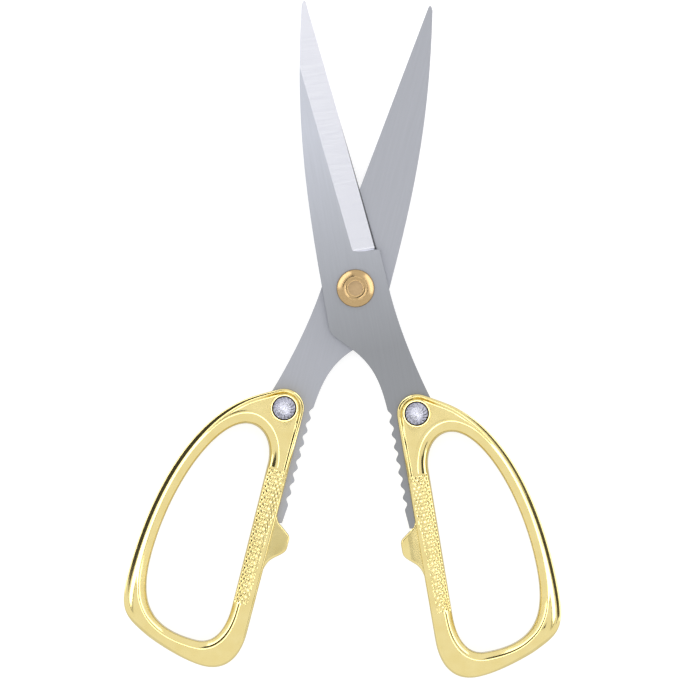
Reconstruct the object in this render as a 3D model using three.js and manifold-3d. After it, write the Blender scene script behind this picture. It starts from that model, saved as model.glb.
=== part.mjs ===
// Multipurpose shears: two riveted stainless blades, each with a cast loop handle on its tang.
//
// Millimetres, +Z up. The shears lie on their back, a little open. The pivot axis is Z, the tips
// point along +Y, and Z = 0 is the surface that they lie on. Both halves are the same pieces: one
// half is drawn closed, with its handle on the +X side and Z = 0 midway between the blades. It is
// used as drawn in front and turned over behind.
import * as THREE from 'three';
import { ConvexGeometry } from 'three/addons/geometries/ConvexGeometry.js';
import { mergeVertices } from 'three/addons/utils/BufferGeometryUtils.js';
import Module from 'manifold-3d';

// How far each half is turned from closed, in degrees
const HALF_OPENING = 12.3;

// Gaps between pieces
const BLADE_GAP = 0.3; // between the two blades
const FIT_GAP = 0.15; // round a piece that is seated in another
const STOP_GAP = 0.3; // between the two stop lugs when closed
const RUN_GAP = 0.08; // round the pivot's shank in the blades

// Blade, measured from the pivot
const BLADE_LENGTH = 82.7; // up to the tip
const BLADE_THICKNESS = 2.3;
const SPINE_REACH = 9.2; // across to the back of the blade
const SPINE_SHOULDER = 6; // up to where the back starts to curve
const EDGE_REACH = 7.8; // across to the lower end of the cutting edge
const EDGE_START = 9.6; // up to the lower end of the cutting edge
const CHOIL_STEP = 0.65; // outwards, below the cutting edge
const GRIND_WIDTH = 6.7; // of the ground bevel, square to the edge
const EDGE_THICKNESS = 0.3; // left at the cutting edge
const TIP_WIDTH = 1.2;
const WAIST_REACH = 9.2; // across to the outer side, beside the pivot
const NECK_REACH = 15.5; // across to the outer side, at the handle
const HEEL_DROP = 11.2; // down to the corner behind the pivot
const HEEL_RADIUS = 2;
const HEEL_SLOPE = 46; // degrees that the heel runs down

// Tang, with its row of gripping teeth
const TOOTH_REACH = 2.9; // across to the tips of the teeth
const TOOTH_DEPTH = 0.9;
const TOOTH_PITCH = 3.6;
const TOOTH_COUNT = 8;
const TEETH_DROP = 35; // pivot down to the first tooth
const TANG_PLAIN = 5.6; // plain edge below the last tooth
const TONGUE_LENGTH = 4; // end of the tang, held in a pocket of the handle
const TONGUE_WIDTH = 3.6;
const LEG_WALL = 1.8; // handle left behind the tang

// Handle
const EAR_THICKNESS = 1.9; // handle wall in front of its blade
const LEG_REACH = 5; // mid-line to the foot of the handle's straight side
const LEG_LEAN = 0.3; // further out at the top of that side
const LEG_WIDTH = 6.4;
const BOSS_DROP = 37.5; // pivot down to the stone
const BOSS_RADIUS = 5.5; // of the handle's top corner, round the stone
const BOW_SLOPE = 29.4; // degrees that the top edge falls
const HANDLE_DROP = 113.2; // pivot down to the foot
const HANDLE_REACH = 41.4; // mid-line to the widest point
const BOW_WIDTH = 4.9;
const FOOT_WIDTH = 6.5;
const FOOT_SLOPE = 25.7; // degrees that the foot's outer side rises
const BOW_THICKNESS = 7;
const HOLE_DROP = 44.2; // pivot down to the finger hole
const HOLE_CROWN = 18.7; // mid-line to the top of the finger hole
const RIM_ROUND = 1.6; // rounding of the outer edge
const ROLL_ROUND = 1.9; // rounding of the finger hole's edge
const WALL_HEIGHT = 2.4; // straight side wall between the roundings
const WEB_DEPTH = 0.8; // hollow between the rim and the rolled edge

// Stop lug
const LUG_DROP = 74; // pivot down to its middle
const LUG_HEIGHT = 4; // of its flat stop face
const LUG_THICKNESS = 6.4;
const LUG_EDGE = 0.6;

// Stones, their settings and the handle pins under them
const GEM_RADIUS = 3.1;
const GEM_GAP = 0.4; // dark ring round the stone
const BEZEL_WIDTH = 0.5;
const SEAT_DEPTH = 1;
const GEM_SINK = 0.1; // below the bezel
const PIN_RADIUS = 1.3;

// Pivot
const SHANK_RADIUS = 1.5;
const RIVET_HEAD_RADIUS = 2.1;
const CAP_RADIUS = 5.3;
const DISH_RADIUS = 3.2;
const DISH_DEPTH = 0.55;

// Heights above the mid-plane between the blades
const bladeBottom = BLADE_GAP / 2;
const bladeTop = bladeBottom + BLADE_THICKNESS;
const slotBottom = bladeBottom - FIT_GAP;
const slotTop = bladeTop + FIT_GAP;
const handleTop = slotTop + EAR_THICKNESS;
const seatFloor = handleTop - SEAT_DEPTH;

// Places in plan
const boss = new THREE.Vector2(LEG_REACH + LEG_LEAN + BOSS_RADIUS, -BOSS_DROP);
const legBack = LEG_REACH + LEG_WIDTH;
const tangBack = legBack - LEG_WALL;
const teethEnd = -(TEETH_DROP + TOOTH_COUNT * TOOTH_PITCH);
const tangEnd = teethEnd - TANG_PLAIN;
const tongueEnd = tangEnd - TONGUE_LENGTH;
const neckMouth = new THREE.Vector2(NECK_REACH, boss.y + 0.6 * BOSS_RADIUS);

const v2 = (x, y) => new THREE.Vector2(x, y);
const radians = THREE.MathUtils.degToRad;
const wasm = await Module();
wasm.setup();

// Solids for joining and cutting

function toSolid(geometry) {
  const bare = new THREE.BufferGeometry().setAttribute('position', geometry.getAttribute('position'));
  if (geometry.index) bare.setIndex(geometry.index);
  const merged = mergeVertices(bare, 1e-4);
  return new wasm.Manifold(new wasm.Mesh({
    numProp: 3,
    vertProperties: merged.getAttribute('position').array,
    triVerts: new Uint32Array(merged.index.array),
  }));
}

function toGeometry(solid) {
  const mesh = solid.getMesh();
  const geometry = new THREE.BufferGeometry();
  geometry.setAttribute('position', new THREE.BufferAttribute(mesh.vertProperties, 3));
  geometry.setIndex(new THREE.BufferAttribute(mesh.triVerts, 1));
  geometry.computeVertexNormals();
  return geometry;
}

// A flat outline raised from one height to another.
function plate(shape, bottom, top, curveSegments = 12) {
  const geometry = new THREE.ExtrudeGeometry(shape, {
    depth: top - bottom, bevelEnabled: false, curveSegments,
  });
  return geometry.translate(0, 0, bottom);
}

function disc(centre, radius, bottom, top, segments = 32) {
  const geometry = new THREE.CylinderGeometry(radius, radius, top - bottom, segments);
  return geometry.rotateX(Math.PI / 2).translate(centre.x, centre.y, (top + bottom) / 2);
}

// Blade

// Where the cutting edge lies at a height above the pivot.
function edgeAt(y) {
  return EDGE_REACH * (BLADE_LENGTH - y) / (BLADE_LENGTH - EDGE_START);
}

// The side of the tang that lies inside the handle, from the handle's mouth down to the tongue.
function tangSide(path, gap) {
  path.lineTo(neckMouth.x + gap, neckMouth.y - BOSS_RADIUS);
  path.bezierCurveTo(
    neckMouth.x + gap, boss.y - 0.8 * BOSS_RADIUS,
    tangBack + gap, boss.y - 0.8 * BOSS_RADIUS,
    tangBack + gap, boss.y - 2.4 * BOSS_RADIUS,
  );
  path.lineTo(tangBack + gap, tongueEnd - gap);
}

function bladeShape() {
  const heelTurn = radians(HEEL_SLOPE);
  const heelEnd = v2(-SPINE_REACH + 5.2, -HEEL_DROP - 5.2 * Math.tan(heelTurn));
  const tip = v2(0, BLADE_LENGTH);
  const spineTip = v2(-TIP_WIDTH, BLADE_LENGTH - 1.6 * TIP_WIDTH);
  const edgeTip = v2(edgeAt(BLADE_LENGTH - TIP_WIDTH), BLADE_LENGTH - TIP_WIDTH);
  const shape = new THREE.Shape();
  // Cutting edge, choil and the outer side of the neck
  shape.moveTo(edgeTip.x, edgeTip.y);
  shape.lineTo(EDGE_REACH, EDGE_START);
  shape.lineTo(EDGE_REACH + CHOIL_STEP, EDGE_START);
  shape.lineTo(WAIST_REACH, -1);
  shape.bezierCurveTo(
    WAIST_REACH + 0.5, -11,
    neckMouth.x - 3.1, neckMouth.y + 10,
    neckMouth.x, neckMouth.y,
  );
  // Inside the handle
  tangSide(shape, 0);
  shape.lineTo(tangBack - TONGUE_WIDTH, tongueEnd);
  shape.lineTo(tangBack - TONGUE_WIDTH, tangEnd);
  shape.lineTo(TOOTH_REACH + 0.4, tangEnd + 0.5);
  // Teeth, from the bottom up
  const steps = 6 * TOOTH_COUNT;
  for (let i = 0; i <= steps; i++) {
    const turn = 2 * Math.PI * TOOTH_COUNT * i / steps;
    const y = teethEnd + TOOTH_COUNT * TOOTH_PITCH * i / steps;
    shape.lineTo(TOOTH_REACH + TOOTH_DEPTH * (1 - Math.cos(turn)) / 2, y);
  }
  // Up round the crotch to the heel, then the back of the blade
  shape.bezierCurveTo(
    TOOTH_REACH - 0.5, -TEETH_DROP + 8,
    heelEnd.x + 5, heelEnd.y - 5 * Math.tan(heelTurn),
    heelEnd.x, heelEnd.y,
  );
  shape.lineTo(
    -SPINE_REACH + HEEL_RADIUS * Math.cos(heelTurn),
    -HEEL_DROP - HEEL_RADIUS * Math.sin(heelTurn),
  );
  shape.quadraticCurveTo(-SPINE_REACH, -HEEL_DROP, -SPINE_REACH, -HEEL_DROP + HEEL_RADIUS);
  shape.lineTo(-SPINE_REACH, SPINE_SHOULDER);
  const rise = spineTip.y - SPINE_SHOULDER;
  shape.bezierCurveTo(
    -SPINE_REACH, SPINE_SHOULDER + 0.4 * rise,
    -0.77 * SPINE_REACH, SPINE_SHOULDER + 0.66 * rise,
    spineTip.x, spineTip.y,
  );
  shape.quadraticCurveTo(tip.x - 0.2 * TIP_WIDTH, tip.y, edgeTip.x, edgeTip.y);
  return shape;
}

// The wedge that is ground away from the outer face along the cutting edge.
function grind() {
  const lean = Math.hypot(EDGE_REACH, BLADE_LENGTH - EDGE_START) / (BLADE_LENGTH - EDGE_START);
  const across = GRIND_WIDTH * lean;
  const fall = (BLADE_THICKNESS - EDGE_THICKNESS) / across;
  const over = 1;
  const corners = [];
  for (const y of [EDGE_START, BLADE_LENGTH + 2]) {
    const edge = edgeAt(y);
    corners.push(new THREE.Vector3(edge + 2, y, bladeTop + over));
    corners.push(new THREE.Vector3(edge + 2, y, bladeBottom + EDGE_THICKNESS - 2 * fall));
    corners.push(new THREE.Vector3(edge - across - over / fall, y, bladeTop + over));
  }
  return new ConvexGeometry(corners);
}

function blade() {
  const holeTop = bladeTop + 1;
  const centre = v2(0, 0);
  return toGeometry(toSolid(plate(bladeShape(), bladeBottom, bladeTop))
    .subtract(toSolid(grind()))
    .subtract(toSolid(disc(centre, SHANK_RADIUS + RUN_GAP, -1, holeTop)))
    .subtract(toSolid(disc(boss, PIN_RADIUS + FIT_GAP, -1, holeTop))));
}

// Handle

// A quarter turn from one point to the next. It leaves along x or y and arrives along the other.
// A fullness of 0.55 gives an ellipse, more gives a squarer corner at that end.
function quarter(from, to, leaving, start, end = start) {
  const dx = (to.x - from.x) * (leaving === 'x' ? start : end);
  const dy = (to.y - from.y) * (leaving === 'x' ? end : start);
  return leaving === 'x'
    ? new THREE.CubicBezierCurve(from, v2(from.x + dx, from.y), v2(to.x, to.y - dy), to)
    : new THREE.CubicBezierCurve(from, v2(from.x, from.y + dy), v2(to.x - dx, to.y), to);
}

// The outer outline and the finger hole, each in the same five stretches:
// straight leg, top corner, bow, outer foot and inner foot.
function loops() {
  const holeReach = HANDLE_REACH - BOW_WIDTH;
  const holeFoot = -HANDLE_DROP + FOOT_WIDTH;
  const legTop = -HOLE_DROP - 9.7;
  const slope = radians(BOW_SLOPE);
  const arcEnd = v2(boss.x + BOSS_RADIUS * Math.sin(slope), boss.y + BOSS_RADIUS * Math.cos(slope));
  const run = HOLE_CROWN - arcEnd.x;
  const crown = v2(HOLE_CROWN, arcEnd.y - run * Math.tan(slope));
  const widest = v2(HANDLE_REACH, -HANDLE_DROP + 19.4);
  const foot = v2(LEG_REACH + 9.7, -HANDLE_DROP);
  const legFoot = v2(LEG_REACH, -HANDLE_DROP + 12);
  const lean = LEG_LEAN / (boss.y - legFoot.y);
  const legMid = v2(LEG_REACH + lean * (legTop - legFoot.y), legTop);
  const corner = new THREE.CurvePath();
  corner.add(new THREE.LineCurve(legMid, v2(LEG_REACH + LEG_LEAN, boss.y)));
  corner.add(new THREE.EllipseCurve(
    boss.x, boss.y, BOSS_RADIUS, BOSS_RADIUS, Math.PI, Math.PI / 2 - slope, true,
  ));
  corner.add(new THREE.LineCurve(arcEnd, crown));
  const bow = new THREE.CubicBezierCurve(
    crown,
    v2(crown.x + 16, crown.y - 16 * Math.tan(slope)),
    v2(widest.x, widest.y + 25.3),
    widest,
  );
  const rise = v2(Math.cos(radians(FOOT_SLOPE)), Math.sin(radians(FOOT_SLOPE)));
  const side = v2(HANDLE_REACH - 9.5, -HANDLE_DROP + 4.3);
  const outerFoot = new THREE.CurvePath();
  outerFoot.add(new THREE.CubicBezierCurve(
    widest, v2(widest.x, widest.y - 10.4), side.clone().addScaledVector(rise, 7.9), side,
  ));
  outerFoot.add(new THREE.CubicBezierCurve(
    side, side.clone().addScaledVector(rise, -1.6), v2(foot.x + 6.2, foot.y), foot,
  ));
  const outer = [
    new THREE.LineCurve(legFoot, legMid),
    corner,
    bow,
    outerFoot,
    quarter(foot, legFoot, 'x', 0.71, 0.57),
  ];
  const holeTop = v2(HOLE_CROWN, -HOLE_DROP);
  const holeSide = v2(holeReach, -HANDLE_DROP + 26);
  const holeLow = v2(legBack + 6.9, holeFoot);
  const holeLegFoot = v2(legBack - 0.45, holeFoot + 11.6);
  const holeLegTop = v2(legBack, legTop);
  const inner = [
    new THREE.LineCurve(holeLegFoot, holeLegTop),
    quarter(holeLegTop, holeTop, 'y', 0.57),
    quarter(holeTop, holeSide, 'x', 0.5),
    quarter(holeSide, holeLow, 'y', 0.76, 0.66),
    quarter(holeLow, holeLegFoot, 'x', 0.67, 0.6),
  ];
  return { outer, inner };
}

// Half the height of the handle at a place on one of the five stretches: the bow is thinner.
function crestAt(stretch, t) {
  const share = [0, 0, THREE.MathUtils.smoothstep(t, 0.1, 0.9), 1 - THREE.MathUtils.smoothstep(t, 0.3, 1), 0];
  return handleTop - share[stretch] * (handleTop - BOW_THICKNESS / 2);
}

// The handle's section from the outer edge (0) to the finger hole (width): a rounded rim, a hollow
// where it is wide enough, and the rolled edge of the hole. Front face, then back face.
function section(width, crest) {
  const wall = WALL_HEIGHT / 2;
  const front = [];
  for (const turn of [0, 30, 60, 90]) {
    const a = radians(turn);
    front.push([RIM_ROUND * (1 - Math.cos(a)), wall + (crest - wall) * Math.sin(a)]);
  }
  const rim = RIM_ROUND + 0.4;
  const roll = width - ROLL_ROUND - 0.4;
  const web = WEB_DEPTH * THREE.MathUtils.smoothstep(roll - rim, 4, 6);
  front.push([rim, crest]);
  front.push([rim + 0.2 * (roll - rim), crest - web]);
  front.push([rim + 0.8 * (roll - rim), crest - web]);
  front.push([roll, crest]);
  for (const turn of [90, 60, 30, 0]) {
    const a = radians(turn);
    front.push([width - ROLL_ROUND * (1 - Math.cos(a)), wall + (crest - wall) * Math.sin(a)]);
  }
  const back = front.map(([d, z]) => [d, -z]).reverse();
  return [...front, ...back];
}

// The handle's ring: the section carried round the loop.
function ring() {
  const { outer, inner } = loops();
  const steps = [6, 14, 16, 10, 8];
  const points = [];
  let size = 0;
  let stations = 0;
  outer.forEach((curve, stretch) => {
    for (let i = 0; i < steps[stretch]; i++) {
      const t = i / steps[stretch];
      const from = curve.getPoint(t);
      const to = inner[stretch].getPoint(t);
      const width = from.distanceTo(to);
      const across = section(width, crestAt(stretch, t));
      for (const [d, z] of across) {
        const p = from.clone().lerp(to, d / width);
        points.push(p.x, p.y, z);
      }
      size = across.length;
      stations += 1;
    }
  });
  const faces = [];
  for (let s = 0; s < stations; s++) {
    const here = s * size;
    const next = ((s + 1) % stations) * size;
    for (let k = 0; k < size; k++) {
      const up = (k + 1) % size;
      faces.push(here + k, here + up, next + k);
      faces.push(next + k, here + up, next + up);
    }
  }
  const geometry = new THREE.BufferGeometry();
  geometry.setAttribute('position', new THREE.Float32BufferAttribute(points, 3));
  return geometry.setIndex(faces);
}

// The stop lug, reaching from inside the leg to the mid-line, with its edges rounded.
function lug() {
  const face = STOP_GAP / 2 + LUG_EDGE;
  const root = LEG_REACH + RIM_ROUND;
  const top = -LUG_DROP + LUG_HEIGHT / 2;
  const bottom = -LUG_DROP - LUG_HEIGHT / 2;
  const shape = new THREE.Shape();
  shape.moveTo(root, top + 2);
  shape.lineTo(TOOTH_REACH + 0.6, top + 1.8);
  shape.lineTo(face + 0.5, top + 0.3);
  shape.quadraticCurveTo(face, top, face, top - 0.5);
  shape.lineTo(face, bottom + 1);
  shape.quadraticCurveTo(face, bottom - 0.6, face + 1.6, bottom - 1.6);
  shape.quadraticCurveTo(LEG_REACH - 0.6, bottom - 3.4, LEG_REACH + 0.3, bottom - 6.6);
  shape.lineTo(root, bottom - 7);
  const geometry = new THREE.ExtrudeGeometry(shape, {
    depth: LUG_THICKNESS - 2 * LUG_EDGE,
    bevelThickness: LUG_EDGE,
    bevelSize: LUG_EDGE,
    bevelSegments: 2,
    curveSegments: 4,
  });
  return geometry.translate(0, 0, -LUG_THICKNESS / 2 + LUG_EDGE);
}

// The slot that takes the tang: open at the top and on the toothed side, closed round the tongue.
function slot() {
  const mouth = new THREE.Shape();
  mouth.moveTo(-SPINE_REACH, boss.y + 2 * BOSS_RADIUS);
  mouth.lineTo(neckMouth.x + FIT_GAP, boss.y + 2 * BOSS_RADIUS);
  tangSide(mouth, FIT_GAP);
  mouth.lineTo(tangBack - TONGUE_WIDTH - FIT_GAP, tongueEnd - FIT_GAP);
  mouth.lineTo(tangBack - TONGUE_WIDTH - FIT_GAP, tangEnd - FIT_GAP);
  mouth.lineTo(-SPINE_REACH, tangEnd - FIT_GAP);
  return plate(mouth, slotBottom, slotTop);
}

function handle() {
  const seat = GEM_RADIUS + GEM_GAP;
  let solid = toSolid(ring())
    .add(toSolid(lug()))
    .add(toSolid(disc(boss, seat + BEZEL_WIDTH, -handleTop, handleTop)))
    .subtract(toSolid(slot()))
    .subtract(toSolid(disc(boss, PIN_RADIUS + FIT_GAP, -handleTop - 1, handleTop + 1)));
  for (const [bottom, top] of [[seatFloor, handleTop + 1], [-handleTop - 1, -seatFloor]]) {
    solid = solid.subtract(toSolid(disc(boss, seat, bottom, top)));
  }
  return toGeometry(solid);
}

// Stones and handle pins

// A brilliant-cut crown on a flat back, table up, its back FIT_GAP above the seat.
function gem() {
  const bottom = seatFloor + FIT_GAP;
  const height = handleTop - GEM_SINK - bottom;
  const girdle = 0.35 * height;
  const corners = [];
  for (let i = 0; i < 16; i++) {
    const a = i * Math.PI / 8;
    const around = (radius, z) => corners.push(new THREE.Vector3(
      boss.x + radius * Math.cos(a), boss.y + radius * Math.sin(a), z,
    ));
    around(0.92 * GEM_RADIUS, bottom);
    around(GEM_RADIUS, bottom + girdle);
    if (i % 2) around(0.8 * GEM_RADIUS, bottom + girdle + 0.62 * (height - girdle));
    else around(0.56 * GEM_RADIUS, bottom + height);
  }
  return new ConvexGeometry(corners);
}

function handlePin() {
  return disc(boss, PIN_RADIUS, -seatFloor, seatFloor);
}

// Pivot

// A round piece about the pivot, from [radius, height] points that start and end on the axis, or
// that go round a ring.
function turned(profile) {
  const geometry = new THREE.LatheGeometry(profile.map(([r, z]) => v2(r, z)), 32);
  return geometry.rotateX(Math.PI / 2);
}

// The front cap: a domed washer with a dished middle, a gap above the blade.
function cap() {
  const bottom = bladeTop + FIT_GAP;
  const height = handleTop - bottom;
  const hole = SHANK_RADIUS + FIT_GAP;
  const floor = handleTop - DISH_DEPTH;
  const skirt = bottom + 0.2 * height;
  const dome = [];
  const span = CAP_RADIUS - DISH_RADIUS - 0.5;
  for (const turn of [0, 22, 45, 68, 90]) {
    const a = radians(turn);
    dome.push([
      CAP_RADIUS - span * (1 - Math.cos(a)),
      skirt + (handleTop - skirt) * Math.sin(a),
    ]);
  }
  const profile = [
    [hole, bottom],
    [CAP_RADIUS, bottom],
    ...dome,
    [DISH_RADIUS, handleTop],
    [DISH_RADIUS - 0.5, floor],
    [hole, floor],
    [hole, bottom],
  ];
  return turned(profile);
}

// The rivet: a shank through both blades and both caps, with a formed end in each dish. The ends
// are flat and level with the caps and the handles, so that the shears lie flat.
function rivet() {
  const under = handleTop - DISH_DEPTH + FIT_GAP;
  const end = handleTop;
  const half = [
    [SHANK_RADIUS, under],
    [RIVET_HEAD_RADIUS, under],
    [RIVET_HEAD_RADIUS, end - 0.1],
    [RIVET_HEAD_RADIUS - 0.15, end],
    [0, end],
  ];
  const other = half.map(([r, z]) => [r, -z]).reverse();
  return turned([...other, ...half]);
}

// Assembly

const steel = { color: 0xb4b6ba, metalness: 1, roughness: 0.34 };
const gold = { color: 0xdcb75c, metalness: 1, roughness: 0.2 };
const brass = { color: 0xc79a45, metalness: 1, roughness: 0.26 };
const glass = { color: 0xeef1f4, metalness: 0, roughness: 0.04 };

function piece(name, geometry, finish) {
  const mesh = new THREE.Mesh(geometry, new THREE.MeshStandardMaterial(finish));
  mesh.name = name;
  return mesh;
}

// One half: a blade and the handle on its tang. Turned over, its own front is the shears' back.
function half(which, side, faces) {
  const group = new THREE.Group();
  const turnedStone = gem();
  turnedStone.translate(-boss.x, -boss.y, 0).rotateY(Math.PI).translate(boss.x, boss.y, 0);
  group.add(piece(which + '_blade', blade(), steel));
  group.add(piece(side + '_handle', handle(), gold));
  group.add(piece(side + '_handle_pin', handlePin(), steel));
  group.add(piece(side + '_' + faces[0] + '_gem', gem(), glass));
  group.add(piece(side + '_' + faces[1] + '_gem', turnedStone, glass));
  group.rotation.z = radians(HALF_OPENING);
  return group;
}

const front = half('front', 'right', ['front', 'rear']);
const rear = half('rear', 'left', ['rear', 'front']);
rear.rotation.y = Math.PI;

const shears = new THREE.Group();
shears.add(front, rear);
shears.add(piece('pivot_rivet', rivet(), brass));
shears.add(piece('pivot_front_cap', cap(), brass));
shears.add(piece('pivot_rear_cap', cap().rotateY(Math.PI), brass));
shears.position.z = handleTop;

const root = new THREE.Group();
root.add(shears);
export default root;
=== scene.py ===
# %% [markdown]
# # Multipurpose shears
# Two stainless blades turn on a brass rivet. Each tang carries a cast loop handle that is plated
# bright gold, with a knurled inner leg, a stop lug and a small cut stone over its pin. This lesson
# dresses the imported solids: they give every size and place, and the pieces made here have the
# same outlines with the crowned, bevelled and polished surfaces of the real thing.

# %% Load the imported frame
import math

import bpy
from mathutils import Matrix, Vector


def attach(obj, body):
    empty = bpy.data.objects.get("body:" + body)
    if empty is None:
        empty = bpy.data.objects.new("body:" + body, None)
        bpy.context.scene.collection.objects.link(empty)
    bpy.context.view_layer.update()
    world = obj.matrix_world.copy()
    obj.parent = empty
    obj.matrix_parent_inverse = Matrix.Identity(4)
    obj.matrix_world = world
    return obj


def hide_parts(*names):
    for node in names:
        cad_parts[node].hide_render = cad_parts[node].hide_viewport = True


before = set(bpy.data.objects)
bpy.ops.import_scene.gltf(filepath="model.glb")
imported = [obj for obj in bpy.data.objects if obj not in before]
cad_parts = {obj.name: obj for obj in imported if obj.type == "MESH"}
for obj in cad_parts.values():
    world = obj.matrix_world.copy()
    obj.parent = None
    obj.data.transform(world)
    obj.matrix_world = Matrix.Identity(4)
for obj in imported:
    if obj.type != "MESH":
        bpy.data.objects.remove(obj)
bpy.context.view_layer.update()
print("nodes", sorted(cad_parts))

# %% [markdown]
# ## One half, drawn closed
# Both halves are the same shapes, so everything is drawn once, in millimetres, as if the shears
# were shut: the pivot is at 0, the tip points along +Y, the handle is on the +X side, and height 0
# lies midway between the blades. A finished piece is then turned by half the opening, and for the
# rear half also turned over, and its turn is applied, so that every object ends at the origin.

# %% Scale and the turn of each half
MM = 0.001
HALF_OPENING = math.radians(12.3)
HANDLE_TOP = 4.5  # height of the handles' crest over the mid-plane

lift = Matrix.Translation((0, 0, HANDLE_TOP * MM))
turn = Matrix.Rotation(HALF_OPENING, 4, "Z")
turn_over = Matrix.Rotation(math.pi, 4, "Y")
FRONT_PLACE = lift @ turn
REAR_PLACE = lift @ turn_over @ turn


def choose(obj):
    """Makes this the only selected object, and the active one."""
    bpy.ops.object.select_all(action="DESELECT")
    obj.select_set(True)
    bpy.context.view_layer.objects.active = obj


def edit(obj):
    """Opens an object for editing, with all of it selected."""
    choose(obj)
    bpy.ops.object.mode_set(mode="EDIT")
    bpy.ops.mesh.select_all(action="SELECT")


def apply_modifier(obj, name, kind, **settings):
    """Adds a modifier, sets it and applies it."""
    choose(obj)
    modifier = obj.modifiers.new(name, kind)
    for key, value in settings.items():
        setattr(modifier, key, value)
    bpy.ops.object.modifier_apply(modifier=name)


def count(obj):
    """Says how many triangles a piece has."""
    obj.data.calc_loop_triangles()
    print(obj.name, len(obj.data.loop_triangles), "triangles")


# %% [markdown]
# ## Camera
# The photograph looks straight down on the shears with almost no perspective, so the camera has a
# long lens and stands far above. It is turned a little, because the shears lie a little askew in
# the picture.

# %% Place the camera
VIEW_WIDTH = 190.65  # of the picture, at the handles' height
VIEW_CENTRE = (-3.75, -14.64)
VIEW_TURN = math.radians(2.36)
CAMERA_DISTANCE = 2000
SENSOR = 36

camera_data = bpy.data.cameras.new("camera")
camera_data.sensor_width = SENSOR
camera_data.lens = SENSOR * CAMERA_DISTANCE / VIEW_WIDTH
camera = bpy.data.objects.new("camera", camera_data)
bpy.context.scene.collection.objects.link(camera)
camera.location = Vector((*VIEW_CENTRE, HANDLE_TOP + CAMERA_DISTANCE)) * MM
camera.rotation_euler = (0, 0, VIEW_TURN)
bpy.context.scene.camera = camera
print("lens", round(camera_data.lens))

# %% [markdown]
# ## Lines to draw with
# The outlines are made of straight lines, arcs and Bezier curves. Each is a function that gives
# a point for a share between 0 and 1 of its length, so a row of vertices can be laid along it as
# closely as a piece needs.

# %% Curves in plan
LENGTH_MARKS = 20  # points that measure a curve's length


def line(start, end):
    a, b = Vector(start), Vector(end)
    return lambda t: a.lerp(b, t)


def bezier(start, first, second, end):
    a, b, c, d = Vector(start), Vector(first), Vector(second), Vector(end)

    def point(t):
        u = 1 - t
        return u * u * u * a + 3 * u * u * t * b + 3 * u * t * t * c + t * t * t * d

    return point


def quarter(start, end, leaving, first, last):
    """A quarter turn that leaves along x or y and arrives along the other."""
    across, up = end[0] - start[0], end[1] - start[1]
    if leaving == "x":
        return bezier(start, (start[0] + first * across, start[1]), (end[0], end[1] - last * up), end)
    return bezier(start, (start[0], start[1] + first * up), (end[0] - last * across, end[1]), end)


def arc(centre, radius, start, end):
    def point(t):
        a = start + t * (end - start)
        return Vector((centre[0] + radius * math.cos(a), centre[1] + radius * math.sin(a)))

    return point


def joined(*curves):
    """Several curves run one after the other, shared out by their length."""
    lengths = []
    for curve in curves:
        marks = [curve(i / LENGTH_MARKS) for i in range(LENGTH_MARKS + 1)]
        lengths.append(sum((b - a).length for a, b in zip(marks, marks[1:])))
    whole = sum(lengths)

    def point(t):
        reach = t * whole
        for curve, length in zip(curves, lengths):
            if reach <= length:
                return curve(reach / length)
            reach -= length
        return curves[-1](1)

    return point


# %% [markdown]
# ## Handle: the two outlines
# Seen from above, a handle is a closed bar between an outer outline and the finger hole. Both run
# through the same five stretches: the straight leg, the top corner round the stone, the bow, the
# outer foot and the inner foot. A station is a pair of points, one on each outline.

# %% Outlines of the handle
LEG_FOOT = (5, -101.2)
LEG_LEAN = 0.3
BOSS = (10.8, -37.5)
BOSS_RADIUS = 5.5
BOW_SLOPE = math.radians(29.4)
BOW_PULL = 16  # the bow keeps near its straight start over this distance
HOLE_CROWN = 18.7
LEG_TOP = -53.9
LEG_BACK = 11.4

lean = LEG_LEAN / (BOSS[1] - LEG_FOOT[1])
leg_mid = (LEG_FOOT[0] + lean * (LEG_TOP - LEG_FOOT[1]), LEG_TOP)
arc_end = (
    BOSS[0] + BOSS_RADIUS * math.sin(BOW_SLOPE),
    BOSS[1] + BOSS_RADIUS * math.cos(BOW_SLOPE),
)
crown = (HOLE_CROWN, arc_end[1] - (HOLE_CROWN - arc_end[0]) * math.tan(BOW_SLOPE))
widest = (41.4, -93.8)
foot_side = (31.9, -108.9)
foot = (14.7, -113.2)
OUTLINE = [
    line(LEG_FOOT, leg_mid),
    joined(
        line(leg_mid, (BOSS[0] - BOSS_RADIUS, BOSS[1])),
        arc(BOSS, BOSS_RADIUS, math.pi, math.pi / 2 - BOW_SLOPE),
        line(arc_end, crown),
    ),
    bezier(
        crown, (crown[0] + BOW_PULL, crown[1] - BOW_PULL * math.tan(BOW_SLOPE)),
        (widest[0], -68.5), widest,
    ),
    joined(
        bezier(widest, (widest[0], -104.2), (39.02, -105.47), foot_side),
        bezier(foot_side, (30.46, -109.59), (20.9, -113.2), foot),
    ),
    quarter(foot, LEG_FOOT, "x", 0.71, 0.57),
]
hole_foot = (LEG_BACK - 0.45, -95.1)
hole_low = (18.3, -106.7)
hole_side = (36.5, -87.2)
hole_top = (HOLE_CROWN, -44.2)
FINGER_HOLE = [
    line(hole_foot, (LEG_BACK, LEG_TOP)),
    quarter((LEG_BACK, LEG_TOP), hole_top, "y", 0.57, 0.57),
    quarter(hole_top, hole_side, "x", 0.5, 0.5),
    quarter(hole_side, hole_low, "y", 0.76, 0.66),
    quarter(hole_low, hole_foot, "x", 0.67, 0.6),
]

# %% Stations round the handle
STEPS = (68, 30, 28, 20, 16)  # on each stretch; close on the leg, for its knurl


def inward(before, after, side):
    """The unit normal of a row of points, into the metal."""
    along = (after - before).normalized()
    return Vector((along.y, -along.x)) * side


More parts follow.
